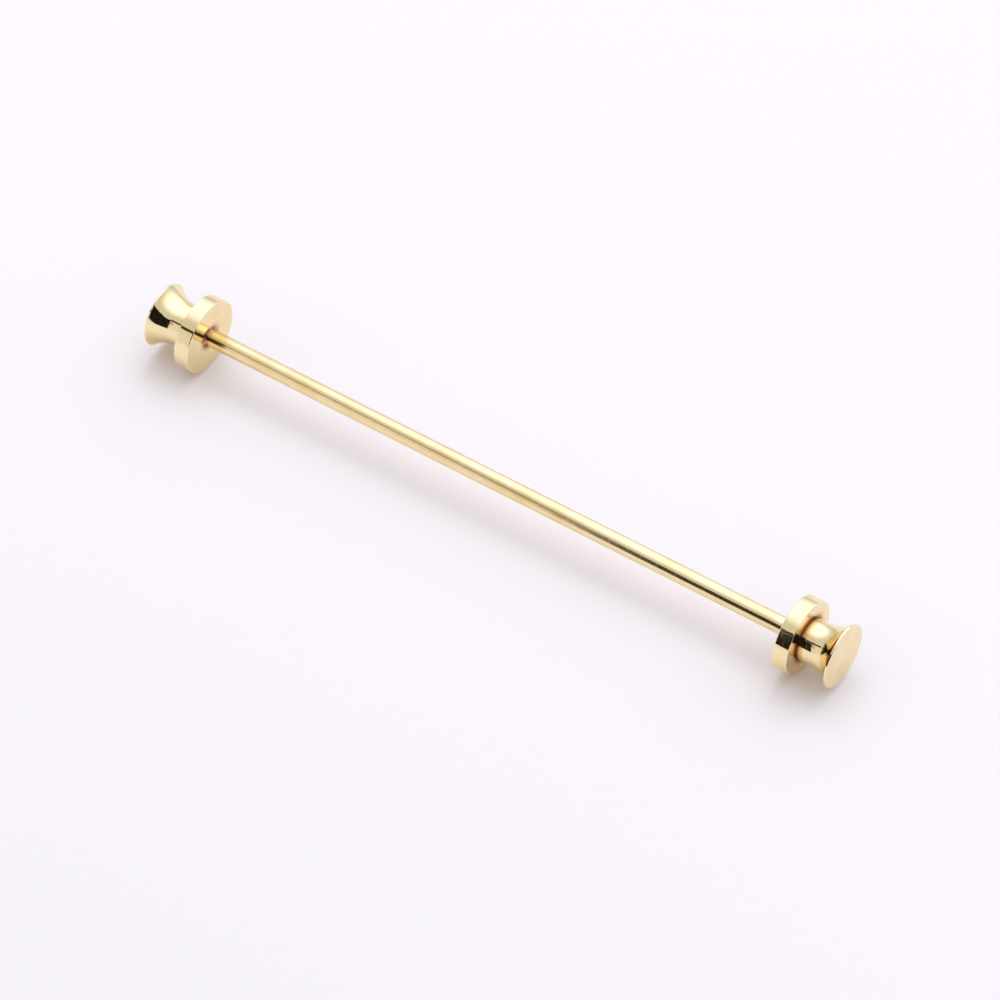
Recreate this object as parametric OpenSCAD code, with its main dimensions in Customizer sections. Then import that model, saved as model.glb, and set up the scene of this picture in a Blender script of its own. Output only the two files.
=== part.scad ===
// A collar bar: a thin polished rod that joins the two points of a shirt collar under the
// knot of a tie. Each end carries a disc and a flared head. The fixed end is soldered.
// The other end unscrews, and its disc slides off after it, so that the rod can be passed
// through the eyelets in the collar.
//
// Frame: the origin is the middle of the rod on its axis. +X points to the end that
// unscrews and +Z is up. The bar lies along X and rests on the rims of its two discs.
// All sizes are in millimetres.

/* [Rod] */
// Diameter of the rod between the discs
rod_d = 1.4; // [1.3:0.1:2]
// Clear length of the rod between the discs, where the collar sits
grip_length = 52; // [44:1:64]
// Chamfer on the two shoulders of the rod
shoulder_chamfer = 0.04; // [0.02:0.01:0.06]

/* [Spigots] */
// Diameter of the spigot at each end of the rod, over the crests where it is threaded
spigot_d = 1; // [0.8:0.05:1.05]
// Length of the spigot that goes into a head
engagement = 2; // [1.5:0.25:2.25]
// Chamfer on the tip of each spigot
tip_chamfer = 0.12; // [0.06:0.02:0.16]
// Distance from one crest of the thread to the next
thread_pitch = 0.25; // [0.2:0.05:0.35]
// Length of the plain relief between the shoulder and the first crest
thread_relief = 0.3; // [0.2:0.05:0.6]

/* [Discs] */
// Diameter of each disc
disc_d = 6; // [5.5:0.25:8]
// Thickness of each disc
disc_thickness = 1.25; // [0.8:0.05:1.6]
// Radius of the rounded outer edges of each disc
disc_round = 0.08; // [0.04:0.02:0.2]
// Chamfer on both ends of the hole through each disc
hole_chamfer = 0.04; // [0.02:0.01:0.06]

/* [Heads] */
// Length of each head, from the disc to the end face
head_length = 3.05; // [2.95:0.05:4]
// Diameter of the straight neck of each head
neck_d = 3.44; // [2.8:0.04:4]
// Diameter of the rim of each head
rim_d = 5.1; // [4.5:0.1:5.4]
// Radius of the hollow curve that leads from the neck to the rim
flare_radius = 2.6; // [1.7:0.05:3]
// Width of the rim, measured along the rod
rim_width = 0.14; // [0.1:0.02:0.3]
// Chamfer between the rim and the end face
rim_chamfer = 0.05; // [0.02:0.01:0.08]
// Chamfer on the edge of the neck that meets the disc
neck_chamfer = 0.04; // [0.02:0.01:0.1]
// Chamfer at the mouth of the blind hole in each head
mouth_chamfer = 0.12; // [0.06:0.02:0.2]
// Free depth of the blind hole past the tip of the spigot
hole_spare = 0.2; // [0.1:0.05:0.25]

/* [Joints] */
// Gap all round between a spigot and the holes that go over it
spigot_gap = 0.03; // [0.02:0.01:0.06]
// Width and height of the ring of solder where the rod enters the fixed disc
solder_leg = 0.22; // [0.12:0.02:0.4]
// Angle at which the solder meets the metal
solder_angle = 14; // [5:1:30]

/* [Hidden] */
// Curves above this number of facets are true curves
$fn = 96;

// Half the angle between the flanks of the thread
FLANK_ANGLE = 30;
// Depth of the thread's grooves, as a share of its pitch
THREAD_DEPTH_SHARE = 0.61;
// Width of the thread's crests, as a share of its pitch
THREAD_CREST_SHARE = 0.125;
// Half the angle of the cone that a drill leaves at the end of a blind hole
DRILL_ANGLE = 59;

rod_r = rod_d / 2;
spigot_r = spigot_d / 2;
disc_r = disc_d / 2;
neck_r = neck_d / 2;
rim_r = rim_d / 2;
hole_r = spigot_r + spigot_gap;

// Positions along X of the shoulders, the outer faces of the discs and the spigot tips
shoulder_x = grip_length / 2;
seat_x = shoulder_x + disc_thickness;
tip_x = seat_x + engagement;

// The flare leaves the neck in line with it and stops where it reaches the rim
flare_height = rim_r - neck_r;
flare_length = sqrt(flare_height * (2 * flare_radius - flare_height));
flare_start = head_length - rim_width - flare_length;

hole_depth = engagement + hole_spare;
drill_cone = hole_r / tan(DRILL_ANGLE);

thread_depth = THREAD_DEPTH_SHARE * thread_pitch;
thread_crest = THREAD_CREST_SHARE * thread_pitch;
thread_rise = thread_depth * tan(FLANK_ANGLE);
root_r = spigot_r - thread_depth;
thread_start = shoulder_x + thread_relief;
thread_count = floor((tip_x - tip_chamfer - thread_start) / thread_pitch);

// Centre and radius of the hollow side of the solder, outward from the corner it fills
solder_centre = solder_leg / (1 - tan(solder_angle));
solder_hollow_r = norm([solder_centre, solder_centre - solder_leg]);

GOLD = [0.93, 0.79, 0.50];
SOLDER = [0.90, 0.74, 0.46];

// Turns a flat profile about the X axis: its first coordinate is the radius, its second is X
module turned() {
    rotate([0, 90, 0])
        rotate_extrude()
            children();
}

// The four corners of one crest of the thread, from its foot nearer the shoulder
function crest_points(x) = [
    [root_r, x],
    [spigot_r, x + thread_rise],
    [spigot_r, x + thread_rise + thread_crest],
    [root_r, x + 2 * thread_rise + thread_crest]
];

// The drawn rod in one piece, with a plain spigot at the fixed end and a threaded one at
// the other. The thread is drawn as rings of its own pitch, depth and flank angle.
module bar() {
    plain_end = [
        [0, -tip_x],
        [spigot_r - tip_chamfer, -tip_x],
        [spigot_r, tip_chamfer - tip_x],
        [spigot_r, -shoulder_x]
    ];
    rod = [
        [rod_r - shoulder_chamfer, -shoulder_x],
        [rod_r, shoulder_chamfer - shoulder_x],
        [rod_r, shoulder_x - shoulder_chamfer],
        [rod_r - shoulder_chamfer, shoulder_x],
        [root_r, shoulder_x]
    ];
    thread = [
        for (i = [0 : thread_count - 1])
            for (p = crest_points(thread_start + i * thread_pitch))
                p
    ];
    threaded_tip = [
        [root_r, tip_x - tip_chamfer],
        [root_r - tip_chamfer, tip_x],
        [0, tip_x]
    ];
    color(GOLD)
        turned()
            polygon(concat(plain_end, rod, thread, threaded_tip));
}

// A disc with rounded outer edges and a plain hole, drawn from its inner face outwards
module disc() {
    color(GOLD)
        translate([shoulder_x, 0, 0])
            turned()
                difference() {
                    union() {
                        square([disc_r - disc_round, disc_thickness]);
                        translate([0, disc_round])
                            square([disc_r, disc_thickness - 2 * disc_round]);
                        for (x = [disc_round, disc_thickness - disc_round])
                            translate([disc_r - disc_round, x])
                                circle(r = disc_round);
                    }
                    polygon([
                        [0, 0],
                        [hole_r + hole_chamfer, 0],
                        [hole_r, hole_chamfer],
                        [hole_r, disc_thickness - hole_chamfer],
                        [hole_r + hole_chamfer, disc_thickness],
                        [0, disc_thickness]
                    ]);
                }
}

// A head with a straight neck, a hollow flare and a narrow rim, drilled from the disc side
module head() {
    color(GOLD)
        translate([seat_x, 0, 0])
            turned()
                difference() {
                    polygon([
                        [0, 0],
                        [neck_r - neck_chamfer, 0],
                        [neck_r, neck_chamfer],
                        [neck_r, flare_start],
                        [rim_r, flare_start],
                        [rim_r, head_length - rim_chamfer],
                        [rim_r - rim_chamfer, head_length],
                        [0, head_length]
                    ]);
                    translate([neck_r + flare_radius, flare_start])
                        circle(r = flare_radius);
                    polygon([
                        [0, 0],
                        [hole_r + mouth_chamfer, 0],
                        [hole_r, mouth_chamfer],
                        [hole_r, hole_depth],
                        [0, hole_depth + drill_cone]
                    ]);
                }
}

module fixed_disc() {
    mirror([1, 0, 0])
        disc();
}

module fixed_head() {
    mirror([1, 0, 0])
        head();
}

// The hollow ring of solder in the corner between the rod and the fixed disc. It also
// fills the groove that the rod's chamfer leaves there.
module solder_fillet() {
    color(SOLDER)
        translate([-shoulder_x, 0, 0])
            turned()
                difference() {
                    polygon([
                        [rod_r - shoulder_chamfer, 0],
                        [rod_r + solder_leg, 0],
                        [rod_r + solder_leg, solder_leg],
                        [rod_r, solder_leg],
                        [rod_r, shoulder_chamfer]
                    ]);
                    translate([rod_r + solder_centre, solder_centre])
                        circle(r = solder_hollow_r);
                }
}

module loose_disc() {
    disc();
}

module screw_head() {
    head();
}

bar();
fixed_disc();
fixed_head();
solder_fillet();
loose_disc();
screw_head();
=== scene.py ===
"""The looks of a collar bar: a thin gold-plated rod with a disc and a flared head at each end.

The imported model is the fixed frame. Every piece is turned again here as a smooth, finely divided
mesh with its real edges and threads, dressed in its finish, and lit in a small white studio.
Lengths are in millimetres unless a class says metres. A piece is scaled to metres when it is built.
"""

import logging
import math
from dataclasses import dataclass
from enum import Enum

import bmesh
import bpy
from mathutils import Euler, Matrix, Vector


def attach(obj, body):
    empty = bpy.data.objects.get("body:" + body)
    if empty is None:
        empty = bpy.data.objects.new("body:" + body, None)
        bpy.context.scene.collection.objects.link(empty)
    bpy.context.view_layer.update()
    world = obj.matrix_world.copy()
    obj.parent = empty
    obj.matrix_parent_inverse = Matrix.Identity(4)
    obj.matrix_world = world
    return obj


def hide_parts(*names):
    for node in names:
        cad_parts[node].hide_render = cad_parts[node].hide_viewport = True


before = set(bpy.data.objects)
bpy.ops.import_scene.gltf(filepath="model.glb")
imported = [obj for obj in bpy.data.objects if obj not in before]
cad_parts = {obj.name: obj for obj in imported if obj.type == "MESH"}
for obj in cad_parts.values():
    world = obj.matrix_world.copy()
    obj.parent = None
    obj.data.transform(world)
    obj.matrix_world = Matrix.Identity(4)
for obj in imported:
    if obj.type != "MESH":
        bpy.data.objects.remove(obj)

log = logging.getLogger("collar_bar")

MILLIMETRE = 0.001
SAME_PLACE = 1e-5
AT_EDGE = 1e-4
FULL_TURN = 2.0 * math.pi
THREAD_PITCH = 0.25
RIDGE_SUNK = 0.02
SHARP_ANGLE = 24.0
NOISE_ROUGHNESS = 0.55
NOISE_MIDDLE = 0.5

Colour = tuple[float, float, float, float]
Pair = tuple[float, float]
# A point of an outline: its place along X and its distance from the axis
Point = tuple[float, float]
Triple = tuple[float, float, float]


class Marks(Enum):
    """The way in which the polishing marks of a finish run."""

    ALONG = "along the rod"
    ROUND = "round the axis"


class Side(Enum):
    """The end of the bar that a piece belongs to, as the sign of its X."""

    FIXED = -1
    SCREW = 1


class Sum:
    """A number that changes over a surface, with the plain operators of arithmetic."""

    def __init__(self, bench: "Bench", socket: bpy.types.NodeSocket) -> None:
        """Keep the node bench and the socket that gives the number."""
        self.bench = bench
        self.socket = socket

    def _maths(self, operation: str, *values: "Sum | float") -> "Sum":
        """Add one Math node for the numbers, in order, and return its result."""
        return self.bench.number("ShaderNodeMath", {"operation": operation}, dict(enumerate(values)))

    def __add__(self, other: "Sum | float") -> "Sum":
        """Return self + other."""
        return self._maths("ADD", self, other)

    def __sub__(self, other: "Sum | float") -> "Sum":
        """Return self - other."""
        return self._maths("SUBTRACT", self, other)

    def __rsub__(self, other: float) -> "Sum":
        """Return other - self."""
        return self._maths("SUBTRACT", other, self)

    def __mul__(self, other: "Sum | float") -> "Sum":
        """Return self * other."""
        return self._maths("MULTIPLY", self, other)

    def __truediv__(self, other: "Sum | float") -> "Sum":
        """Return self / other."""
        return self._maths("DIVIDE", self, other)

    def __pow__(self, other: "Sum | float") -> "Sum":
        """Return self to the power of other."""
        return self._maths("POWER", self, other)

    def root(self) -> "Sum":
        """Return the square root."""
        return self._maths("SQRT", self)

    def size(self) -> "Sum":
        """Return the number without its sign."""
        return self._maths("ABSOLUTE", self)

    def at_least(self, other: "Sum | float") -> "Sum":
        """Return the larger of the two numbers."""
        return self._maths("MAXIMUM", self, other)

    def ramp(self, low: float, high: float) -> "Sum":
        """Fade from 0 at low to 1 at high, and stay there."""
        inputs = {"Value": self, "From Min": low, "From Max": high}
        return self.bench.number("ShaderNodeMapRange", {"interpolation_type": "SMOOTHSTEP"}, inputs)


class Bench:
    """The node tree of one material or world, and the one way in which nodes are added to it."""

    def __init__(self, tree: bpy.types.NodeTree) -> None:
        """Clear a node tree and take it over."""
        tree.nodes.clear()
        self.tree = tree

    def node(self, kind: str, settings: dict[str, object], inputs: dict[str | int, object]) -> bpy.types.Node:
        """Add one node.

        Args:
            kind: The node's type.
            settings: Properties that are set first.
            inputs: A value or a link for each socket, by its name or number.

        Returns:
            The new node.
        """
        node = self.tree.nodes.new(kind)
        for name, value in settings.items():
            setattr(node, name, value)
        for name, value in inputs.items():
            socket = node.inputs[name]
            source = value.socket if isinstance(value, Sum) else value
            if isinstance(source, bpy.types.NodeSocket):
                self.tree.links.new(source, socket)
            else:
                socket.default_value = source
        return node

    def number(self, kind: str, settings: dict[str, object], inputs: dict[str | int, object]) -> Sum:
        """Add one node and return its first output that is in use as a number."""
        node = self.node(kind, settings, inputs)
        return Sum(self, next(socket for socket in node.outputs if socket.enabled))

    def place(self) -> bpy.types.NodeSocket:
        """Return the place on the piece, in metres."""
        return self.node("ShaderNodeTexCoord", {}, {}).outputs["Object"]

    def mix(self, share: Sum | float, first: object, second: object) -> bpy.types.NodeSocket:
        """Blend two colours, or sockets that give them, by the share of the second."""
        inputs = {0: share, 6: first, 7: second}
        return self.node("ShaderNodeMix", {"data_type": "RGBA", "clamp_factor": True}, inputs).outputs[2]

    def vector(self, x: Sum | float, y: Sum | float, z: Sum | float) -> bpy.types.NodeSocket:
        """Join three numbers to a vector."""
        return self.node("ShaderNodeCombineXYZ", {}, {0: x, 1: y, 2: z}).outputs[0]

    def noise(self, place: bpy.types.NodeSocket, scale: float, detail: float) -> Sum:
        """Return cloudy noise from 0 to 1, its scale being features in a unit of the place."""
        inputs = {"Vector": place, "Scale": scale, "Detail": detail, "Roughness": NOISE_ROUGHNESS}
        return self.number("ShaderNodeTexNoise", {"noise_dimensions": "3D"}, inputs)

    def relief(
        self, height: Sum, depth: float, under: bpy.types.NodeSocket | None = None
    ) -> bpy.types.NodeSocket:
        """Raise the surface a little.

        Args:
            height: The relief's height, as a share of its depth.
            depth: Its depth.
            under: The relief that it lies on, where there is one.

        Returns:
            The socket with the surface's direction.
        """
        inputs = {"Strength": 1.0, "Distance": depth * MILLIMETRE, "Height": height}
        if under is not None:
            inputs["Normal"] = under
        return self.node("ShaderNodeBump", {}, inputs).outputs[0]

    def metal(self, colour: bpy.types.NodeSocket, rough: Sum, relief: bpy.types.NodeSocket) -> None:
        """Make the material bare metal."""
        inputs = {"Base Color": colour, "Metallic": 1.0, "Roughness": rough, "Normal": relief}
        self.surface(self.node("ShaderNodeBsdfPrincipled", {}, inputs))

    def surface(self, shader: bpy.types.Node) -> None:
        """Give the material its surface."""
        self.node("ShaderNodeOutputMaterial", {}, {"Surface": shader.outputs[0]})


def new_material(name: str) -> tuple[bpy.types.Material, Bench]:
    """Make an empty material.

    Args:
        name: Its name.

    Returns:
        The material and the bench for its nodes.
    """
    material = bpy.data.materials.new(name)
    material.use_nodes = True
    return material, Bench(material.node_tree)


@dataclass(frozen=True)
class PolishedGold:
    """Pale yellow gold plate on brass, polished to a mirror.

    Attributes:
        name: Name of the material.
        marks: The way in which the polishing marks run.
        edges: Places of the edges that are worn.
        shaded_corners: Places of the inner corners where shade is painted into the colour.
        plate: Colour of the plate.
        deep: Colour of the plate where it is thick or slightly tarnished.
        corner_amber_shade: Colour of the painted warm shade in the inner corners.
        worn: Colour of the plate where the edges are rubbed bright.
        corner_dark_shade: Colour of the painted dark shade deep in the inner corners.
        gloss: Lowest roughness of the polish.
        wave: Height of the soft waves that the polishing leaves.
        mark: Height of the fine marks.
        tint: Largest share of the deep colour on open faces.
        amber_shade_reach: Width of the painted warm shade round an inner corner.
        dark_shade_reach: Width of the painted dark shade in an inner corner.
        wear_reach: Width of the rubbed strip at an edge.
        wear_share: Share of the worn colour in the middle of that strip.
        haze_rough: Roughness that the haze adds.
        mark_rough: Roughness that the fine marks add.
        scratch_rough: Roughness that a scratch adds.
        corner_rough: Roughness that is added where the dark shade is painted.
        wear_rough: Roughness that the rubbing adds.
        cloud_scale: Clouds of tint in a millimetre.
        wave_scale: Waves of the polish in a millimetre.
        haze_scale: Patches of haze in a millimetre.
        lay_stretch: Width of the fine marks as a share of their length.
        mark_scale: Fine marks in a millimetre.
        scratch_scale: Scratches in a unit of their own stretched place.
        scratch_width: Share of the noise's range that one scratch takes up.
        scratch_stretch: How much a scratch's place is stretched along X, upwards and outwards.
        scratch_height: Height of a scratch, as a share of the fine marks'.
        amber_shade_least: Least share of the painted warm shade, where there is no haze.
        amber_shade_haze: Share of the painted warm shade that the haze adds.
        tint_from: The noise at which the tint begins and is full.
        haze_from: The same for the haze.
        dark_shade_from: The haze at which the painted dark shade begins and is full.
        wear_from: The same for the rubbing.
    """

    name: str
    marks: Marks = Marks.ROUND
    edges: tuple[Point, ...] = ()
    shaded_corners: tuple[Point, ...] = ()
    plate: Colour = (0.935, 0.80, 0.47, 1.0)
    deep: Colour = (0.83, 0.52, 0.17, 1.0)
    corner_amber_shade: Colour = (0.78, 0.40, 0.12, 1.0)
    worn: Colour = (0.96, 0.88, 0.68, 1.0)
    corner_dark_shade: Colour = (0.10, 0.035, 0.012, 1.0)
    gloss: float = 0.03
    wave: float = 0.012
    mark: float = 0.0005
    tint: float = 0.36
    amber_shade_reach: float = 0.75
    dark_shade_reach: float = 0.36
    wear_reach: float = 0.11
    wear_share: float = 0.75
    haze_rough: float = 0.035
    mark_rough: float = 0.02
    scratch_rough: float = 0.03
    corner_rough: float = 0.25
    wear_rough: float = 0.08
    cloud_scale: float = 0.55
    wave_scale: float = 0.8
    haze_scale: float = 3.2
    lay_stretch: float = 0.02
    mark_scale: float = 9.0
    scratch_scale: float = 5.0
    scratch_width: float = 0.02
    scratch_stretch: Triple = (2.0, 0.15, 6.0)
    scratch_height: float = 0.6
    amber_shade_least: float = 0.5
    amber_shade_haze: float = 0.7
    tint_from: Pair = (0.35, 0.8)
    haze_from: Pair = (0.45, 0.8)
    dark_shade_from: Pair = (0.2, 0.5)
    wear_from: Pair = (0.3, 0.6)

    def _near(self, along: Sum, out: Sum, places: tuple[Point, ...], reach: float) -> Sum | float:
        """Return 1 at any of the places, fading to 0 at the reach.

        Args:
            along: Place along X.
            out: Distance from the axis.
            places: The places round which the mask is 1.
            reach: Distance over which the mask fades.

        Returns:
            The mask, or 0 where there are no places.
        """
        mask: Sum | float = 0.0
        for x, r in places:
            distance = ((along - x) ** 2.0 + (out - r) ** 2.0).root()
            near = 1.0 - distance.ramp(0.0, reach)
            mask = near if isinstance(mask, float) else mask.at_least(near)
        return mask

    def material(self) -> bpy.types.Material:
        """Make the material.

        Returns:
            The material, with colour, wear, roughness and bump that change over the surface.
        """
        material, bench = new_material(self.name)
        place = bench.place()
        parts = bench.node("ShaderNodeSeparateXYZ", {}, {0: place}).outputs
        along = Sum(bench, parts[0]) / MILLIMETRE
        side = Sum(bench, parts[1]) / MILLIMETRE
        up = Sum(bench, parts[2]) / MILLIMETRE
        out = (side ** 2.0 + up ** 2.0).root()
        spot = bench.vector(along, side, up)
        if self.marks is Marks.ALONG:
            lay = bench.vector(along * self.lay_stretch, side, up)
        else:
            lay = bench.vector(along, out, side * self.lay_stretch)
        fine = bench.noise(lay, self.mark_scale, detail=4.0)
        clouds = bench.noise(spot, self.cloud_scale, detail=2.0)
        wave = bench.noise(spot, self.wave_scale, detail=1.0)
        haze = bench.noise(spot, self.haze_scale, detail=3.0)
        long, high, wide = self.scratch_stretch
        slant = bench.vector(along * long + side, up * high, out * wide)
        scratches = bench.noise(slant, self.scratch_scale, detail=2.0) - NOISE_MIDDLE
        scratch = scratches.size().ramp(0.0, self.scratch_width)
        tint = clouds.ramp(*self.tint_from) * self.tint
        colour = bench.mix(tint, self.plate, self.deep)
        # Painted shade: the inner corners are darkened with a warm amber and a near-black brown, which stand
        # in for the shade and the warm reflections that gather there.
        if self.shaded_corners:
            amber_shade = self._near(along, out, self.shaded_corners, self.amber_shade_reach)
            amber_shade = amber_shade * (haze * self.amber_shade_haze + self.amber_shade_least)
            colour = bench.mix(amber_shade, colour, self.corner_amber_shade)
            dark_shade = self._near(along, out, self.shaded_corners, self.dark_shade_reach) * haze.ramp(*self.dark_shade_from)
            colour = bench.mix(dark_shade, colour, self.corner_dark_shade)
        rough = haze.ramp(*self.haze_from) * self.haze_rough + self.gloss
        rough = rough + fine * self.mark_rough + (1.0 - scratch) * self.scratch_rough
        if self.shaded_corners:
            rough = rough + dark_shade * self.corner_rough
        if self.edges:
            wear = self._near(along, out, self.edges, self.wear_reach) * haze.ramp(*self.wear_from)
            colour = bench.mix(wear * self.wear_share, colour, self.worn)
            rough = rough + wear * self.wear_rough
        waves = bench.relief(wave, self.wave)
        bench.metal(colour, rough, bench.relief(fine + scratch * self.scratch_height, self.mark, waves))
        return material


@dataclass(frozen=True)
class GoldSolder:
    """Hard solder, darker and redder than the plate, with faint runs and pits.

    Attributes:
        name: Name of the material.
        plate: Colour on the raised parts.
        deep: Colour in the runs and pits.
        gloss: Lowest roughness.
        run_scale: Runs in a metre.
        pit_scale: Pits in a metre.
        ripple: Height of the runs.
        run_from: The noise at which the runs' colour begins and is full.
        pit_from: The same for the pits.
        pit_share: Share of the deep colour in a pit.
        pit_depth: Depth of a pit, as a share of the ripple.
        run_rough: Roughness that the runs add.
        pit_rough: Roughness that a pit adds.
    """

    name: str = "gold_solder"
    plate: Colour = (0.62, 0.34, 0.15, 1.0)
    deep: Colour = (0.20, 0.065, 0.02, 1.0)
    gloss: float = 0.12
    run_scale: float = 2600.0
    pit_scale: float = 14000.0
    ripple: float = 0.012
    run_from: Pair = (0.35, 0.7)
    pit_from: Pair = (0.62, 0.74)
    pit_share: float = 0.6
    pit_depth: float = 0.3
    run_rough: float = 0.1
    pit_rough: float = 0.2

    def material(self) -> bpy.types.Material:
        """Make the material.

        Returns:
            The material, with soft runs and small pits in its colour, roughness and bump.
        """
        material, bench = new_material(self.name)
        place = bench.place()
        runs = bench.noise(place, self.run_scale, detail=3.0)
        pits = bench.noise(place, self.pit_scale, detail=2.0).ramp(*self.pit_from)
        colour = bench.mix(runs.ramp(*self.run_from), self.plate, self.deep)
        colour = bench.mix(pits * self.pit_share, colour, self.deep)
        relief = bench.relief(runs - pits * self.pit_depth, self.ripple)
        rough = runs * self.run_rough + self.gloss + pits * self.pit_rough
        bench.metal(colour, rough, relief)
        return material


class Lathe:
    """A bmesh that holds an outline beside the X axis and turns it to a solid."""

    def __init__(self, start: Point) -> None:
        """Set the tool at the start of the outline.

        Args:
            start: The outline's first point.
        """
        self.bm = bmesh.new()
        self.tool = self.bm.verts.new((start[0], 0.0, start[1]))
        self.first = self.tool

    def line(self, *points: Point) -> None:
        """Cut straight to each point in turn.

        Args:
            points: The points.
        """
        for x, r in points:
            drawn = bmesh.ops.extrude_vert_indiv(self.bm, verts=[self.tool])
            self.tool = drawn["verts"][0]
            self.tool.co = Vector((x, 0.0, r))

    def arc(self, centre: Point, degrees: float, steps: int) -> None:
        """Cut an arc from where the tool stands.

        Args:
            centre: The middle of the arc.
            degrees: How far the arc turns round its middle, from +X outwards where positive.
            steps: The number of straight pieces.
        """
        drawn = bmesh.ops.spin(
            self.bm,
            geom=[self.tool],
            cent=(centre[0], 0.0, centre[1]),
            axis=(0.0, -1.0, 0.0),
            angle=math.radians(degrees),
            steps=steps,
        )
        self.tool = [item for item in drawn["geom_last"] if isinstance(item, bmesh.types.BMVert)][0]

    def close(self) -> None:
        """Join the last point of the outline to the first."""
        self.bm.edges.new((self.tool, self.first))

    def turn(self, steps: int) -> None:
        """Turn the outline a full turn round the X axis.

        Args:
            steps: The number of facets round the piece.
        """
        outline = self.bm.verts[:] + self.bm.edges[:]
        bmesh.ops.spin(
            self.bm, geom=outline, axis=(1.0, 0.0, 0.0), angle=FULL_TURN, steps=steps, use_merge=True
        )
        bmesh.ops.remove_doubles(self.bm, verts=self.bm.verts[:], dist=SAME_PLACE)
        bmesh.ops.recalc_face_normals(self.bm, faces=self.bm.faces[:])

    def ring(self, place: Point) -> list[bmesh.types.BMEdge]:
        """Find the ring of edges at one place of the outline.

        Args:
            place: The place.

        Returns:
            The edges of the ring.
        """
        def at_place(vert: bmesh.types.BMVert) -> bool:
            """Say whether a vertex lies on the ring."""
            out = math.hypot(vert.co.y, vert.co.z)
            return abs(vert.co.x - place[0]) < AT_EDGE and abs(out - place[1]) < AT_EDGE

        return [edge for edge in self.bm.edges if all(at_place(vert) for vert in edge.verts)]

    def bevel(self, places: list[Point], width: float, segments: int) -> None:
        """Break the edges at some places of the outline.

        Args:
            places: The places.
            width: Width of the chamfer or radius of the rounding.
            segments: 1 for a chamfer, more for a rounding.
        """
        edges = [edge for place in places for edge in self.ring(place)]
        bmesh.ops.bevel(
            self.bm,
            geom=edges,
            offset=width,
            offset_type="OFFSET",
            segments=segments,
            profile=0.5,
            affect="EDGES",
            material=-1,
        )


@dataclass
class Thread:
    """One continuous right-hand ridge of a thread with flanks at 30 degrees.

    Attributes:
        start: X of the ridge's first middle line.
        turns: Number of turns.
        foot: Radius of the side of the ridge that is sunk in the metal.
        root: Radius at which the ridge leaves the metal.
        crest: Radius of the ridge's crest.
        root_width: Width of the ridge at the root.
        crest_width: Width of the ridge at the crest.
        pitch: Distance from one turn to the next.
        facets: Number of facets in one turn.
        end_width: Width of the ridge's ends, as a share of its own.
    """

    start: float
    turns: float
    foot: float
    root: float
    crest: float
    root_width: float
    crest_width: float
    pitch: float = THREAD_PITCH
    facets: int = 72
    end_width: float = 0.5

    def ridge(self) -> bmesh.types.BMesh:
        """Wind the ridge.

        Returns:
            The closed ridge, with its ends sunk into the metal.
        """
        bm = bmesh.new()
        outline = [
            (self.start - self.root_width / 2, self.foot),
            (self.start - self.root_width / 2, self.root),
            (self.start - self.crest_width / 2, self.crest),
            (self.start + self.crest_width / 2, self.crest),
            (self.start + self.root_width / 2, self.root),
            (self.start + self.root_width / 2, self.foot),
        ]
        section = bm.faces.new([bm.verts.new((x, 0.0, r)) for x, r in outline])
        steps = round(self.turns * self.facets)
        lift = self.pitch / self.facets
        wound = bmesh.ops.spin(
            bm,
            geom=[section, *section.edges, *section.verts],
            axis=(1.0, 0.0, 0.0),
            dvec=(lift, 0.0, 0.0),
            angle=FULL_TURN * steps / self.facets,
            steps=steps,
        )
        bmesh.ops.recalc_face_normals(bm, faces=bm.faces[:])
        for cap, x in ((section, self.start), (None, self.start + steps * lift)):
            ends = cap.verts if cap else [v for v in wound["geom_last"] if isinstance(v, bmesh.types.BMVert)]
            self._narrow(list(ends), x)
        return bm

    def _narrow(self, verts: list[bmesh.types.BMVert], x: float) -> None:
        """Sink one end of the ridge into the metal.

        Args:
            verts: The vertices of the end.
            x: Where the end's middle line is.
        """
        for vert in verts:
            out = math.hypot(vert.co.y, vert.co.z)
            scale = self.foot / out
            vert.co.y *= scale
            vert.co.z *= scale
            vert.co.x = x + (vert.co.x - x) * self.end_width


def joined(*parts: bmesh.types.BMesh) -> bmesh.types.BMesh:
    """Join several meshes.

    Args:
        parts: The meshes. They are freed.

    Returns:
        One mesh that holds them all.
    """
    whole = bmesh.new()
    for part in parts:
        holder = bpy.data.meshes.new("part")
        part.to_mesh(holder)
        part.free()
        whole.from_mesh(holder)
        bpy.data.meshes.remove(holder)
    return whole


@dataclass
class Piece:
    """What every piece of the bar has: its name, its body and its place at one of the ends.

    Attributes:
        name: Name of the piece's object.
        node: The CAD node that the piece stands for.
        body: The CAD body that the piece rides on.
        slot: Name of a material slot. It is not used.
        side: The end of the bar.
    """

    name: str
    node: str
    body: str
    slot: str = "polished_gold"
    side: Side = Side.SCREW

    def shape(self) -> bmesh.types.BMesh:
        """Build the piece's mesh in millimetres, for the screw end."""
        raise NotImplementedError

    def finish(self) -> bpy.types.Material:
        """Make the piece's material."""
        raise NotImplementedError

    def edge_places(self, *places: Point) -> tuple[Point, ...]:
        """Carry places of the outline over to the piece's own end of the bar."""
        return tuple((self.side.value * x, r) for x, r in places)

    def build(self) -> None:
        """Make the piece, dress it and hang it on its body."""
        bm = self.shape()
        if self.side is Side.FIXED:
            bmesh.ops.transform(bm, matrix=Matrix.Rotation(math.pi, 4, "Z"), verts=bm.verts[:])
        bmesh.ops.scale(bm, vec=(MILLIMETRE,) * 3, verts=bm.verts[:])
        mesh = bpy.data.meshes.new(self.name)
        bm.to_mesh(mesh)
        bm.free()
        mesh.shade_smooth()
        mesh.set_sharp_from_angle(angle=math.radians(SHARP_ANGLE))
        mesh.materials.append(self.finish())
        piece = bpy.data.objects.new(self.name, mesh)
        bpy.context.scene.collection.objects.link(piece)
        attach(piece, self.body)
        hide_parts(self.node)
        log.info("%s: %d faces, rides on %s", self.name, len(mesh.polygons), self.body)


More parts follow.
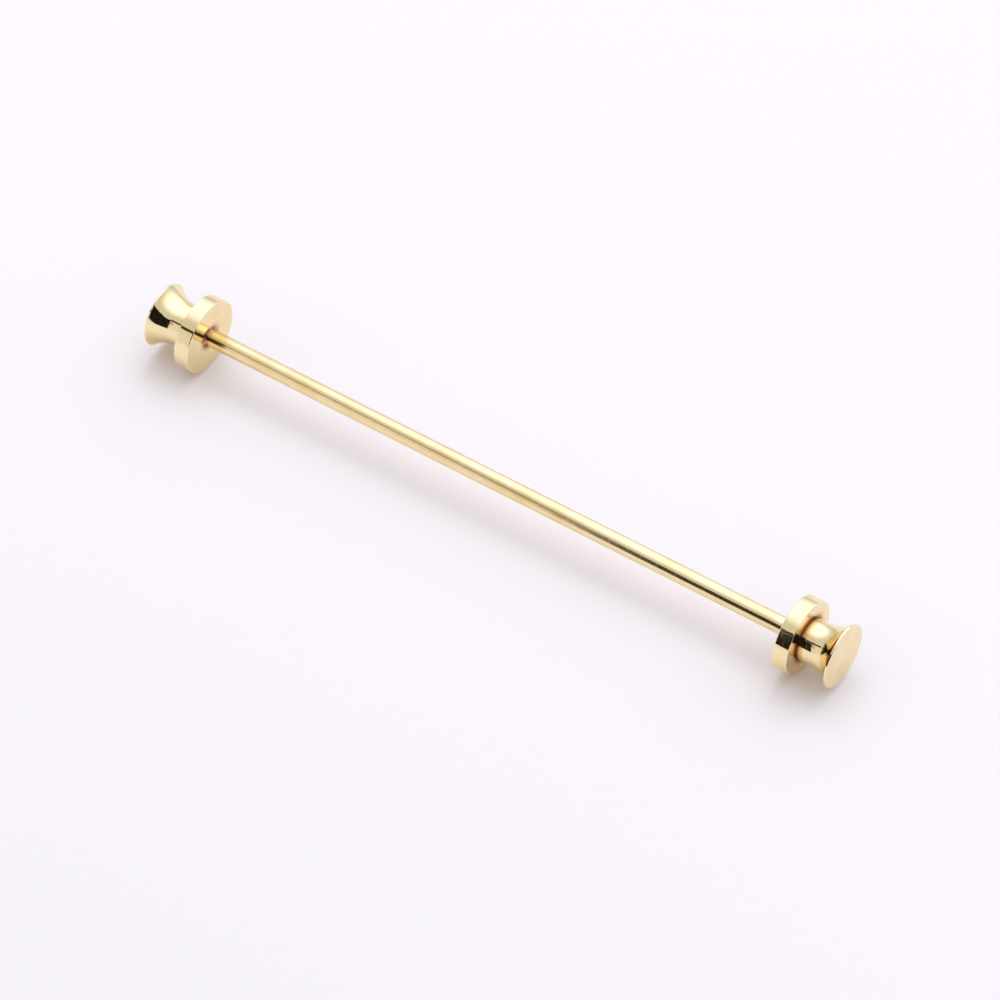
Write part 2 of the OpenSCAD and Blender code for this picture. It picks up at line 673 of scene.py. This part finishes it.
@dataclass
class Rod(Piece):
    """The drawn rod with a plain spigot at the fixed end and a threaded one at the other.

    Attributes:
        radius: Radius of the rod.
        shoulder: Distance of each shoulder from the middle of the rod.
        shoulder_chamfer: Chamfer on the shoulders.
        spigot: Radius of the spigots, over the crests of the thread.
        tip: Distance of each spigot's tip from the middle of the rod.
        tip_chamfer: Chamfer on the tips.
        root: Radius at the root of the thread.
        thread_start: X where the thread begins.
        ridge_lead: Distance from there to the middle of the thread's first ridge.
        ridge_root: Width of the ridge at its root.
        ridge_crest: Width of the ridge at its crest.
        end_gap: Distance from the thread's end to the tip's chamfer.
        facets: Number of facets round the rod.
    """

    radius: float = 0.7
    shoulder: float = 26.0
    shoulder_chamfer: float = 0.04
    spigot: float = 0.5
    tip: float = 29.25
    tip_chamfer: float = 0.12
    root: float = 0.3475
    thread_start: float = 26.3
    ridge_lead: float = 0.1037
    ridge_root: float = 0.2073
    ridge_crest: float = 0.0313
    end_gap: float = 0.1
    facets: int = 128

    def shape(self) -> bmesh.types.BMesh:
        """Turn the rod, break its edges and wind its thread.

        Returns:
            The rod's mesh.
        """
        lathe = Lathe((-self.tip, 0.0))
        lathe.line(
            (-self.tip, self.spigot),
            (-self.shoulder, self.spigot),
            (-self.shoulder, self.radius),
            (self.shoulder, self.radius),
            (self.shoulder, self.root),
            (self.tip, self.root),
            (self.tip, 0.0),
        )
        lathe.turn(self.facets)
        lathe.bevel([(-self.tip, self.spigot), (self.tip, self.root)], self.tip_chamfer, segments=1)
        shoulders = [(-self.shoulder, self.radius), (self.shoulder, self.radius)]
        lathe.bevel(shoulders, self.shoulder_chamfer, segments=3)
        ridge = self._thread().ridge()
        for vert in ridge.verts:
            self._keep_in_chamfer(vert)
        return joined(lathe.bm, ridge)

    def _keep_in_chamfer(self, vert: bmesh.types.BMVert) -> None:
        """Bring a vertex of the thread back to the cone of the tip's chamfer.

        Args:
            vert: The vertex.
        """
        out = math.hypot(vert.co.y, vert.co.z)
        limit = min(self.spigot, self.spigot + (self.tip - self.tip_chamfer - vert.co.x))
        if out > limit:
            vert.co.y *= limit / out
            vert.co.z *= limit / out

    def _thread(self) -> Thread:
        """Size the thread of the screw end.

        Returns:
            The thread.
        """
        length = self.tip - self.tip_chamfer - self.thread_start - self.end_gap
        return Thread(
            start=self.thread_start + self.ridge_lead,
            turns=length / THREAD_PITCH,
            foot=self.root - RIDGE_SUNK,
            root=self.root,
            crest=self.spigot,
            root_width=self.ridge_root,
            crest_width=self.ridge_crest,
        )

    def finish(self) -> bpy.types.Material:
        """Dress the rod.

        Returns:
            Softer gold with drawing marks along the rod, rubbed shoulders and painted shade in the corner at
            the threaded spigot.
        """
        return PolishedGold(
            name="gold_rod",
            marks=Marks.ALONG,
            lay_stretch=0.04,
            mark_scale=11.0,
            plate=(0.935, 0.785, 0.445, 1.0),
            gloss=0.17,
            edges=((self.shoulder, self.radius), (self.tip, self.root)),
            # Painted shade in the inner corner at the threaded spigot's shoulder.
            shaded_corners=((self.shoulder, self.root),),
        ).material()


@dataclass
class Disc(Piece):
    """A disc with rounded outer edges and a plain hole.

    Attributes:
        inner: X of the face towards the rod.
        thickness: Thickness of the disc.
        radius: Outer radius, a hair under the solid's, whose facets make its box smaller.
        round_radius: Radius of the outer edges.
        hole: Radius of the hole.
        hole_chamfer: Chamfer at both ends of the hole.
        face_edge: Width of the strip beside each edge that keeps a flat face flat.
        worn_in: Distance of the middle of the rubbed strip from the outer edges.
        rod_corner: Radius of the inner face's corner by the rod, where shade is painted.
        neck_corner: Radius of the outer face's corner by the neck, where shade is painted.
        facets: Number of facets round the disc.
    """

    inner: float = 26.0
    thickness: float = 1.25
    radius: float = 2.9985
    round_radius: float = 0.08
    hole: float = 0.53
    hole_chamfer: float = 0.04
    face_edge: float = 0.03
    worn_in: float = 0.02
    rod_corner: float = 0.75
    neck_corner: float = 1.72
    facets: int = 256

    @property
    def outer(self) -> float:
        """Return the X of the face away from the rod."""
        return self.inner + self.thickness

    def shape(self) -> bmesh.types.BMesh:
        """Turn the disc and round its edges.

        Returns:
            The disc's mesh.
        """
        keep = self.round_radius + self.face_edge
        lathe = Lathe((self.inner, self.hole))
        lathe.line(
            (self.inner, self.hole + self.hole_chamfer + self.face_edge),
            (self.inner, self.radius - keep),
            (self.inner, self.radius),
            (self.inner + keep, self.radius),
            (self.outer - keep, self.radius),
            (self.outer, self.radius),
            (self.outer, self.radius - keep),
            (self.outer, self.hole + self.hole_chamfer + self.face_edge),
            (self.outer, self.hole),
        )
        lathe.close()
        lathe.turn(self.facets)
        rims = [(self.inner, self.radius), (self.outer, self.radius)]
        lathe.bevel(rims, self.round_radius, segments=6)
        mouths = [(self.inner, self.hole), (self.outer, self.hole)]
        lathe.bevel(mouths, self.hole_chamfer, segments=1)
        return lathe.bm

    def finish(self) -> bpy.types.Material:
        """Dress the disc.

        Returns:
            Gold with turning marks, rubbed outer edges and painted shade in the corners by the rod and the
            neck.
        """
        return PolishedGold(
            name="gold_" + self.name,
            edges=self.edge_places(
                (self.inner + self.worn_in, self.radius - self.worn_in),
                (self.outer - self.worn_in, self.radius - self.worn_in),
            ),
            # Painted shade in the corners by the rod and by the head's neck.
            shaded_corners=self.edge_places((self.inner, self.rod_corner), (self.outer, self.neck_corner)),
        ).material()


@dataclass
class Head(Piece):
    """A head with a straight neck, a hollow flare and a narrow rim, drilled from the disc side.

    Attributes:
        seat: X of the face that meets the disc.
        length: Length of the head.
        neck: Radius of the neck.
        rim: Radius of the rim.
        flare_radius: Radius of the hollow curve from the neck to the rim.
        rim_width: Width of the rim along X.
        rim_chamfer: Chamfer between the rim and the end face.
        neck_chamfer: Chamfer on the neck's edge at the disc.
        hole: Radius of the blind hole.
        hole_depth: Depth of the blind hole up to its cone.
        drill_cone: Length of the cone at the end of the hole.
        mouth_chamfer: Chamfer at the mouth of the hole.
        tapped: Whether the hole has a thread.
        first_ridge: X of the middle of the hole's first ridge, half a pitch from one of the rod's.
        ridge_top: Radius of the crest of the hole's ridge.
        ridge_root: Width of that ridge at its root.
        ridge_crest: Width of that ridge at its crest.
        end_gap: Distance from the thread's end to the bottom of the hole.
        face_edge: Width of the strip beside each edge that keeps a flat face flat.
        worn_in: Distance of the middle of the rubbed strip from the rim's outer edge.
        facets: Number of facets round the head.
        flare_steps: Number of straight pieces along the flare.
    """

    seat: float = 27.25
    length: float = 3.05
    neck: float = 1.72
    rim: float = 2.55
    flare_radius: float = 2.6
    rim_width: float = 0.14
    rim_chamfer: float = 0.05
    neck_chamfer: float = 0.04
    hole: float = 0.53
    hole_depth: float = 2.2
    drill_cone: float = 0.3185
    mouth_chamfer: float = 0.12
    tapped: bool = False
    first_ridge: float = 27.5287
    ridge_top: float = 0.375
    ridge_root: float = 0.236
    ridge_crest: float = 0.058
    end_gap: float = 0.15
    face_edge: float = 0.03
    worn_in: float = 0.02
    facets: int = 256
    flare_steps: int = 36

    @property
    def end(self) -> float:
        """Return the X of the end face."""
        return self.seat + self.length

    @property
    def flare_angle(self) -> float:
        """Return how far the flare's arc turns, in degrees."""
        rise = self.rim - self.neck
        return math.degrees(math.acos(1.0 - rise / self.flare_radius))

    def shape(self) -> bmesh.types.BMesh:
        """Turn the head, break its edges and cut its thread.

        Returns:
            The head's mesh.
        """
        rim_start = self.end - self.rim_width
        flare_start = rim_start - self.flare_radius * math.sin(math.radians(self.flare_angle))
        keep = self.rim_chamfer + self.face_edge
        bottom = self.seat + self.hole_depth
        lathe = Lathe((bottom + self.drill_cone, 0.0))
        lathe.line(
            (bottom, self.hole),
            (self.seat, self.hole),
            (self.seat, self.hole + self.mouth_chamfer + self.face_edge),
            (self.seat, self.neck - self.neck_chamfer - self.face_edge),
            (self.seat, self.neck),
            (self.seat + self.neck_chamfer + self.face_edge, self.neck),
            (flare_start, self.neck),
        )
        lathe.arc((flare_start, self.neck + self.flare_radius), self.flare_angle, self.flare_steps)
        lathe.line((self.end, self.rim), (self.end, self.rim - keep), (self.end, 0.0))
        lathe.turn(self.facets)
        lathe.bevel([(self.end, self.rim)], self.rim_chamfer, segments=3)
        lathe.bevel([(self.seat, self.neck)], self.neck_chamfer, segments=3)
        lathe.bevel([(self.seat, self.hole)], self.mouth_chamfer, segments=1)
        if self.tapped:
            return joined(lathe.bm, self._thread().ridge())
        return lathe.bm

    def _thread(self) -> Thread:
        """Size the thread in the hole.

        Returns:
            The thread, half a pitch away from the rod's own.
        """
        length = self.seat + self.hole_depth - self.end_gap - self.first_ridge
        return Thread(
            start=self.first_ridge,
            turns=length / THREAD_PITCH,
            foot=self.hole + RIDGE_SUNK,
            root=self.hole,
            crest=self.ridge_top,
            root_width=self.ridge_root,
            crest_width=self.ridge_crest,
        )

    def finish(self) -> bpy.types.Material:
        """Dress the head.

        Returns:
            Gold with turning marks, rubbed rim and neck edges and painted shade in the inner corners.
        """
        return PolishedGold(
            name="gold_" + self.name,
            edges=self.edge_places(
                (self.end, self.rim - self.worn_in),
                (self.end - self.rim_width, self.rim),
                (self.seat, self.neck),
            ),
            # Painted shade at the neck's corner on the disc and at the mouth of the hole.
            shaded_corners=self.edge_places((self.seat, self.neck), (self.seat, self.hole)),
        ).material()


@dataclass
class SolderRing(Piece):
    """The hollow ring of solder in the corner between the rod and the fixed disc.

    Attributes:
        inner: X of the disc's face.
        radius: Radius of the rod.
        shoulder_chamfer: Chamfer on the rod's shoulder, which the solder fills.
        leg: Width and height of the ring.
        angle: Angle at which the solder meets the metal, in degrees.
        facets: Number of facets round the ring.
        hollow_steps: Number of straight pieces along its hollow side.
    """

    inner: float = 26.0
    radius: float = 0.7
    shoulder_chamfer: float = 0.04
    leg: float = 0.22
    angle: float = 14.0
    facets: int = 192
    hollow_steps: int = 16

    def shape(self) -> bmesh.types.BMesh:
        """Turn the ring with its hollow side.

        Returns:
            The ring's mesh.
        """
        centre = self.leg / (1.0 - math.tan(math.radians(self.angle)))
        sweep = 90.0 - 2.0 * self.angle
        lathe = Lathe((self.inner, self.radius - self.shoulder_chamfer))
        lathe.line(
            (self.inner - self.shoulder_chamfer, self.radius),
            (self.inner - self.leg, self.radius),
        )
        lathe.arc((self.inner - centre, self.radius + centre), sweep, self.hollow_steps)
        lathe.close()
        lathe.turn(self.facets)
        return lathe.bm

    def finish(self) -> bpy.types.Material:
        """Return plated solder."""
        return GoldSolder().material()


def stand(name: str, bm: bmesh.types.BMesh, material: bpy.types.Material) -> bpy.types.Object:
    """Put one thing in the studio that isn't part of the object.

    Args:
        name: Its name.
        bm: Its mesh, in metres. It is freed.
        material: Its material.

    Returns:
        Its object.
    """
    mesh = bpy.data.meshes.new(name)
    bm.to_mesh(mesh)
    bm.free()
    mesh.shade_smooth()
    mesh.materials.append(material)
    thing = bpy.data.objects.new(name, mesh)
    bpy.context.scene.collection.objects.link(thing)
    return thing


def matt(name: str, colour: Colour) -> bpy.types.Material:
    """Make a plain matt material.

    Args:
        name: Its name.
        colour: Its colour.

    Returns:
        The material.
    """
    material, bench = new_material(name)
    bench.surface(bench.node("ShaderNodeBsdfDiffuse", {}, {"Color": colour}))
    return material


@dataclass
class DarkCards:
    """The dark cards round the object that only its polished surfaces see.

    Bearings are in degrees from -Y towards +X. Lengths are in metres.

    Attributes:
        foot: Height of the floor, on which the screen stands.
        black: Colour of the screen.
        screen_radius: Distance of the screen from the middle of the object.
        screen_steps: Number of flat pieces in the screen.
        screen_heights: Bearing and Z of the points along its top edge, from left to right.
        brown: Colour of the bar.
        bar_size: Size of the bar along each axis.
        bar_place: Middle of the bar.
        cloth: Colour of the veil.
        cloth_share: How much of the light the veil stops.
        veil_size: Width and height of the veil.
        veil_place: Middle of the veil.
    """

    foot: float
    black: Colour = (0.012, 0.010, 0.009, 1.0)
    screen_radius: float = 0.155
    screen_steps: int = 51
    screen_heights: tuple[Pair, ...] = ((-15.0, 0.136), (38.0, 0.150), (64.0, 0.116), (86.0, 0.07))
    brown: Colour = (0.07, 0.032, 0.014, 1.0)
    bar_size: Triple = (0.23, 0.006, 0.032)
    bar_place: Triple = (-0.153, -0.150, 0.142)
    cloth: Colour = (0.05, 0.04, 0.03, 1.0)
    cloth_share: float = 0.35
    veil_size: Pair = (0.036, 0.075)
    veil_place: Triple = (-0.060, -0.150, 0.098)

    def build(self) -> None:
        """Set up the three cards and hide them from all but reflections."""
        for card in (self.screen(), self.bar(), self.veil()):
            card.visible_camera = False
            card.visible_diffuse = False
            card.visible_shadow = False

    def screen(self) -> bpy.types.Object:
        """Stand the curved screen in front of the object, round its right-hand side.

        Returns:
            The screen's object.
        """
        left = math.radians(self.screen_heights[0][0])
        right = math.radians(self.screen_heights[-1][0])
        corner = (self.screen_radius * math.sin(left), -self.screen_radius * math.cos(left), self.foot)
        bm = bmesh.new()
        foot = bm.verts.new(corner)
        drawn = bmesh.ops.extrude_vert_indiv(bm, verts=[foot])
        bmesh.ops.translate(bm, vec=(0.0, 0.0, self.screen_heights[0][1]), verts=drawn["verts"])
        bmesh.ops.spin(
            bm,
            geom=[foot, *drawn["verts"], *drawn["edges"]],
            axis=(0.0, 0.0, 1.0),
            angle=right - left,
            steps=self.screen_steps,
        )
        for vert in bm.verts:
            if vert.co.z > 0.0:
                self._cut_top(vert)
        return stand("black_card", bm, matt("black_card", self.black))

    def _cut_top(self, vert: bmesh.types.BMVert) -> None:
        """Set a vertex of the screen's top edge to the height for its bearing.

        Args:
            vert: The vertex.
        """
        bearing = math.degrees(math.atan2(vert.co.x, -vert.co.y))
        slack = 0.1
        for (start, low), (stop, high) in zip(self.screen_heights, self.screen_heights[1:]):
            if start - slack <= bearing <= stop + slack:
                vert.co.z = low + (high - low) * (bearing - start) / (stop - start)

    def bar(self) -> bpy.types.Object:
        """Hang the brown bar that runs on from the screen's top edge to the left.

        Returns:
            The bar's object.
        """
        bm = bmesh.new()
        bmesh.ops.create_cube(bm, size=1.0)
        bmesh.ops.scale(bm, vec=self.bar_size, verts=bm.verts[:])
        bmesh.ops.translate(bm, vec=self.bar_place, verts=bm.verts[:])
        return stand("brown_bar", bm, matt("brown_bar", self.brown))

    def veil(self) -> bpy.types.Object:
        """Hang the thin grey veil beside the screen's left edge, under the bar.

        Returns:
            The veil's object.
        """
        width, height = self.veil_size
        bm = bmesh.new()
        bmesh.ops.create_grid(bm, x_segments=1, y_segments=1, size=0.5)
        bmesh.ops.rotate(bm, matrix=Matrix.Rotation(math.radians(90.0), 3, "X"), verts=bm.verts[:])
        bmesh.ops.scale(bm, vec=(width, 1.0, height), verts=bm.verts[:])
        bmesh.ops.translate(bm, vec=self.veil_place, verts=bm.verts[:])
        material, bench = new_material("grey_veil")
        cloth = bench.node("ShaderNodeBsdfDiffuse", {}, {"Color": self.cloth})
        clear = bench.node("ShaderNodeBsdfTransparent", {}, {})
        shares = {0: self.cloth_share, 1: clear.outputs[0], 2: cloth.outputs[0]}
        bench.surface(bench.node("ShaderNodeMixShader", {}, shares))
        return stand("grey_veil", bm, material)


@dataclass
class Studio:
    """The floor, the white surroundings, the lamp, the dark cards and the camera.

    Lengths are in metres and angles in degrees.

    Attributes:
        floor_level: Height of the floor.
        floor_radius: Radius of the floor.
        floor_facets: Number of facets round the floor.
        floor_colour: Colour of the floor behind the object.
        floor_shade: How much of that colour is left where shade is painted on the nearer part of the floor.
        floor_shade_span: The two Y between which shade is painted on the floor, darker towards the front.
        floor_shares: Shares of the painted shade at the front, the grain and the clouds in the darkening.
        floor_scales: Grains and clouds of the floor in a metre.
        low_front: Colour of the surroundings near the ground, in front of the object.
        low_back: Their colour near the ground, behind the object.
        middle: Their colour half way up.
        back_from: How far back, as a cosine, the colour for behind begins and is full.
        middle_from: How far up, as a cosine, the middle colour begins and is full.
        glow: Their colour overhead and behind, where the light comes from.
        glow_way: Direction of the glow's middle, along +Y and up.
        glow_from: How far off the middle of the glow it begins and is full, as cosines.
        backdrop: The colour that the camera sees past the floor.
        lamp_size: Width and depth of the soft box.
        lamp_height: Its distance from the object's middle.
        lamp_shift: How far it hangs to the left, as an X.
        lamp_tilt: How far it leans back.
        lamp_power: Its power, in watts.
        azimuth: The camera's bearing: 0 looks along +Y, 90 along -X.
        elevation: The camera's height above the horizon.
        distance: Distance from the camera to the point it looks at.
        lens: Focal length for a frame of the width below, in millimetres.
        frame_width: Width of the frame, in millimetres.
        aim: What the camera looks at, to its right and up from the origin.
        clip: Nearest and farthest distance that the camera sees.
    """

    floor_level: float = -0.003
    floor_radius: float = 3.0
    floor_facets: int = 96
    floor_colour: Colour = (0.905, 0.85, 0.825, 1.0)
    floor_shade: float = 0.93
    floor_shade_span: Pair = (-0.075, 0.03)
    floor_shares: Triple = (0.85, 0.08, 0.07)
    floor_scales: Pair = (900.0, 6.0)
    low_front: Colour = (0.86, 0.79, 0.78, 1.0)
    low_back: Colour = (0.66, 0.71, 0.81, 1.0)
    middle: Colour = (0.71, 0.70, 0.69, 1.0)
    back_from: Pair = (-0.5, 0.5)
    middle_from: Pair = (0.15, 0.8)
    glow: Colour = (1.42, 1.50, 1.80, 1.0)
    glow_way: Pair = (0.5, 0.866)
    glow_from: Pair = (0.5, 0.95)
    backdrop: Colour = (0.96, 0.94, 1.0, 1.0)
    lamp_size: Pair = (0.6, 0.38)
    lamp_height: float = 0.9
    lamp_shift: float = -0.12
    lamp_tilt: float = 30.0
    lamp_power: float = 1.0
    azimuth: float = 33.757
    elevation: float = 49.063
    distance: float = 0.555768
    lens: float = 270.0
    frame_width: float = 36.0
    aim: Pair = (0.0002347, -0.0013521)
    clip: Pair = (0.01, 10.0)

    def build(self) -> None:
        """Set up the whole studio."""
        bpy.context.scene.view_settings.view_transform = "Standard"
        self.floor()
        self.surroundings()
        self.lamp()
        DarkCards(self.floor_level).build()
        self.camera()

    def floor(self) -> None:
        """Lay the floor."""
        bm = bmesh.new()
        bmesh.ops.create_circle(
            bm, cap_ends=True, segments=self.floor_facets, radius=self.floor_radius
        )
        bmesh.ops.translate(bm, vec=(0.0, 0.0, self.floor_level), verts=bm.verts[:])
        material, bench = new_material("floor_board")
        place = bench.place()
        grain = bench.noise(place, self.floor_scales[0], detail=3.0)
        cloud = bench.noise(place, self.floor_scales[1], detail=2.0)
        back = Sum(bench, bench.node("ShaderNodeSeparateXYZ", {}, {0: place}).outputs[1])
        # Painted shade: the floor darkens towards the front, mixed with its grain and clouds.
        painted_front_shade = 1.0 - back.ramp(*self.floor_shade_span)
        front_shade_share, grain_share, cloud_share = self.floor_shares
        shade_and_grain = painted_front_shade * front_shade_share + grain * grain_share + cloud * cloud_share
        shade = tuple(self.floor_shade * value for value in self.floor_colour[:3]) + (1.0,)
        colour = bench.mix(shade_and_grain, self.floor_colour, shade)
        bench.surface(bench.node("ShaderNodeBsdfDiffuse", {}, {"Color": colour}))
        stand("floor", bm, material)

    def surroundings(self) -> None:
        """Make the white surroundings, brighter overhead and behind the object."""
        world = bpy.data.worlds.new("surroundings")
        bpy.context.scene.world = world
        world.use_nodes = True
        bench = Bench(world.node_tree)
        way = bench.node("ShaderNodeTexCoord", {}, {}).outputs["Generated"]
        parts = bench.node("ShaderNodeSeparateXYZ", {}, {0: way}).outputs
        back = Sum(bench, parts[1])
        up = Sum(bench, parts[2])
        glow = (back * self.glow_way[0] + up * self.glow_way[1]).ramp(*self.glow_from)
        colour = bench.mix(back.ramp(*self.back_from), self.low_front, self.low_back)
        colour = bench.mix(up.ramp(*self.middle_from), colour, self.middle)
        colour = bench.mix(glow, colour, self.glow)
        camera = bench.node("ShaderNodeLightPath", {}, {}).outputs["Is Camera Ray"]
        colour = bench.mix(Sum(bench, camera), colour, self.backdrop)
        light = bench.node("ShaderNodeBackground", {}, {"Color": colour, "Strength": 1.0})
        bench.node("ShaderNodeOutputWorld", {}, {"Surface": light.outputs[0]})

    def lamp(self) -> None:
        """Hang the soft box above and behind the object, out of its reflections."""
        data = bpy.data.lights.new("soft_box", "AREA")
        data.shape = "RECTANGLE"
        data.size, data.size_y = self.lamp_size
        data.energy = self.lamp_power
        lamp = bpy.data.objects.new("soft_box", data)
        bpy.context.scene.collection.objects.link(lamp)
        hung = Matrix.Translation((self.lamp_shift, 0.0, self.lamp_height))
        lamp.matrix_world = Matrix.Rotation(-math.radians(self.lamp_tilt), 4, "X") @ hung
        lamp.visible_camera = False
        lamp.visible_glossy = False

    def camera(self) -> None:
        """Set the camera at the photograph's viewing angle."""
        lean = math.radians(90.0 - self.elevation)
        turn = Euler((lean, 0.0, math.radians(self.azimuth))).to_matrix()
        right, up, back = turn.col
        data = bpy.data.cameras.new("camera")
        data.lens = self.lens
        data.sensor_width = self.frame_width
        data.clip_start, data.clip_end = self.clip
        camera = bpy.data.objects.new("camera", data)
        bpy.context.scene.collection.objects.link(camera)
        place = right * self.aim[0] + up * self.aim[1] + back * self.distance
        camera.matrix_world = Matrix.Translation(place) @ turn.to_4x4()
        bpy.context.scene.camera = camera


def main() -> None:
    """Build the bar piece by piece, then the studio, and note the sizes."""
    logging.basicConfig(level=logging.INFO, format="%(message)s")
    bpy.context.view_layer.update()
    pieces: list[Piece] = [
        Rod("rod", "bar", "fixed_part"),
        Disc("soldered_disc", "fixed_disc", "fixed_part", side=Side.FIXED),
        Head("soldered_head", "fixed_head", "fixed_part", side=Side.FIXED),
        SolderRing("solder_ring", "solder_fillet", "fixed_part", "gold_solder", Side.FIXED),
        Disc("sliding_disc", "loose_disc", "loose_disc"),
        Head("threaded_head", "screw_head", "screw_head", tapped=True),
    ]
    for piece in pieces:
        piece.build()
    Studio().build()


if __name__ == "__main__":
    main()
